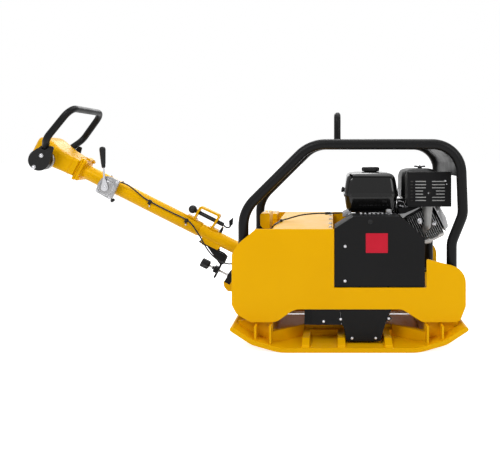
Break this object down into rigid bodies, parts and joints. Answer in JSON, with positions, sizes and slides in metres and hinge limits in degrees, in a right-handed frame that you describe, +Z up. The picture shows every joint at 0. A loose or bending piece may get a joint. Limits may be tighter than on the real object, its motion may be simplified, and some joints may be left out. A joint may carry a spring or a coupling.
{
  "type": "reversible plate compactor",
  "caption": "Reversible vibratory plate compactor with a petrol engine, tubular protective frame, lifting eye and folding drawbar with a direction handle.",
  "frame": {"origin": "centre of the flat part of the sole, on the ground", "axes": "+X along the machine away from the drawbar, +Z up, -Y towards the belt guard"},
  "size_m": [1.7961, 0.67, 0.9423],
  "materials": {
    "yellow_paint": "gloss powder coat with light wear on edges",
    "black_frame": "satin powder coat",
    "black_sheet": "fine textured powder coat",
    "tank_enamel": "gloss enamel",
    "aluminium_casting": "sand-cast and blasted",
    "steel_zinc": "zinc plated",
    "iron": "machined iron",
    "black_rubber": "matt",
    "black_plastic": "moulded, fine grain",
    "red_plastic": "moulded"
  },
  "bodies": {
    "machine": {"base_plate": "yellow_paint", "base_ribs": "yellow_paint", "rubber_mounts": "black_rubber", "exciter_housing": "yellow_paint", "exciter_plates": "steel_zinc", "exciter_bearings": "steel_zinc", "lower_frame": "yellow_paint", "side_plate_near": "yellow_paint", "side_plate_far": "yellow_paint", "top_cover": "yellow_paint", "deck_beam": "yellow_paint", "frame_rail_near": "black_frame", "frame_rail_far": "black_frame", "front_cross_plate": "black_frame", "lifting_eye": "black_frame", "belt_guard_back": "black_sheet", "belt_guard": "black_sheet", "lower_belt_guard": "black_sheet", "exciter_side_guard": "black_sheet", "guard_screws": "steel_zinc", "drawbar_pin": "steel_zinc", "stop_block": "black_rubber", "crankcase": "aluminium_casting", "engine_cylinder": "aluminium_casting", "valve_cover": "aluminium_casting", "muffler": "black_sheet", "muffler_shield": "black_sheet", "air_cleaner": "black_plastic", "carburettor": "aluminium_casting", "fuel_tank": "tank_enamel", "fan_cowl": "black_sheet", "recoil_starter": "black_sheet", "spark_plug": "black_plastic", "drive_belt": "black_rubber", "cable_deck": "black_plastic"},
    "drawbar": {"drawbar_tube": "yellow_paint", "drawbar_eye": "yellow_paint", "control_head": "yellow_paint", "saddle": "yellow_paint", "latch_bracket": "yellow_paint", "adjuster_arm": "black_sheet", "throttle_housing": "aluminium_casting", "throttle_cable": "black_plastic", "cable_bridge": "black_plastic"},
    "direction_loop": {"loop_handle": "black_frame", "loop_clamps": "black_plastic", "loop_shaft": "aluminium_casting"},
    "throttle": {"throttle_lever": "steel_zinc", "throttle_grip": "black_plastic"},
    "plunger": {"lock_plunger": "black_plastic"},
    "adjuster_slider": {"adjuster_pad": "steel_zinc"},
    "adjuster_knob": {"adjuster_screw": "black_plastic"},
    "engine_shaft": {"crankshaft": "steel_zinc"},
    "exciter_driven": {"driven_shaft": "iron"},
    "exciter_idle": {"idle_shaft": "iron"},
    "tank_cap": {"fuel_cap": "black_plastic"},
    "filter_nut": {"air_filter_nut": "black_plastic"},
    "rope_grip": {"starter_grip": "black_plastic"},
    "choke": {"choke_lever": "black_plastic"},
    "switch": {"engine_switch": "red_plastic"}
  },
  "joints": [
    {"name": "drawbar_hinge", "type": "hinge", "parent": "machine", "child": "drawbar", "pos_m": [-0.4, 0, 0.294], "axis": [0, 1, 0], "range_deg": [0, 55], "deforming": ["cable_bridge"]},
    {"name": "direction_hinge", "type": "hinge", "parent": "drawbar", "child": "direction_loop", "pos_m": [-1.26872, 0, 0.71678], "axis": [0, 1, 0], "range_deg": [-25, 25]},
    {"name": "throttle_hinge", "type": "hinge", "parent": "drawbar", "child": "throttle", "pos_m": [-1.01984, 0, 0.60173], "axis": [0, 1, 0], "range_deg": [-35, 45]},
    {"name": "plunger_slide", "type": "slide", "parent": "drawbar", "child": "plunger", "axis": [-0.8918, 0, 0.4524], "range_m": [0, 0.02], "stiffness_N_per_m": 1000, "springref_m": -0.01},
    {"name": "adjuster_travel", "type": "slide", "parent": "drawbar", "child": "adjuster_slider", "axis": [-0.8918, 0, 0.4524], "range_m": [0, 0.012]},
    {"name": "adjuster_turn", "type": "hinge", "parent": "adjuster_slider", "child": "adjuster_knob", "pos_m": [-0.58942, 0, 0.25217], "axis": [-0.8918, 0, 0.4524], "range_deg": [0, 1440]},
    {"name": "exciter_driven_spin", "type": "hinge", "parent": "machine", "child": "exciter_driven", "pos_m": [0.062, 0, 0.1], "axis": [0, 1, 0], "continuous": true},
    {"name": "exciter_idle_spin", "type": "hinge", "parent": "machine", "child": "exciter_idle", "pos_m": [-0.022, 0, 0.1], "axis": [0, 1, 0], "continuous": true},
    {"name": "crankshaft_spin", "type": "hinge", "parent": "machine", "child": "engine_shaft", "pos_m": [0.135, 0, 0.361], "axis": [0, 1, 0], "continuous": true},
    {"name": "fuel_cap_turn", "type": "hinge", "parent": "machine", "child": "tank_cap", "pos_m": [0.102, -0.02, 0.675], "axis": [0, 0, 1], "range_deg": [0, 90]},
    {"name": "filter_nut_turn", "type": "hinge", "parent": "machine", "child": "filter_nut", "pos_m": [0.328, 0.066, 0.68], "axis": [0, 0, 1], "continuous": true},
    {"name": "starter_pull", "type": "slide", "parent": "machine", "child": "rope_grip", "axis": [-0.6, 0, 0.8], "range_m": [0, 0.6], "stiffness_N_per_m": 40, "springref_m": -0.15},
    {"name": "choke_turn", "type": "hinge", "parent": "machine", "child": "choke", "pos_m": [0.285, 0.1, 0.512], "axis": [0, -1, 0], "range_deg": [0, 45]},
    {"name": "switch_turn", "type": "hinge", "parent": "machine", "child": "switch", "pos_m": [0.017, 0.15, 0.42], "axis": [0, 1, 0], "range_deg": [0, 40]}
  ],
  "couplings": [
    {"joint": "adjuster_turn", "follows": "adjuster_travel", "rad_per_m": 2094.4},
    {"joint": "exciter_idle_spin", "follows": "exciter_driven_spin", "ratio": -1},
    {"joint": "crankshaft_spin", "follows": "exciter_driven_spin", "ratio": 1.3333}
  ]
}
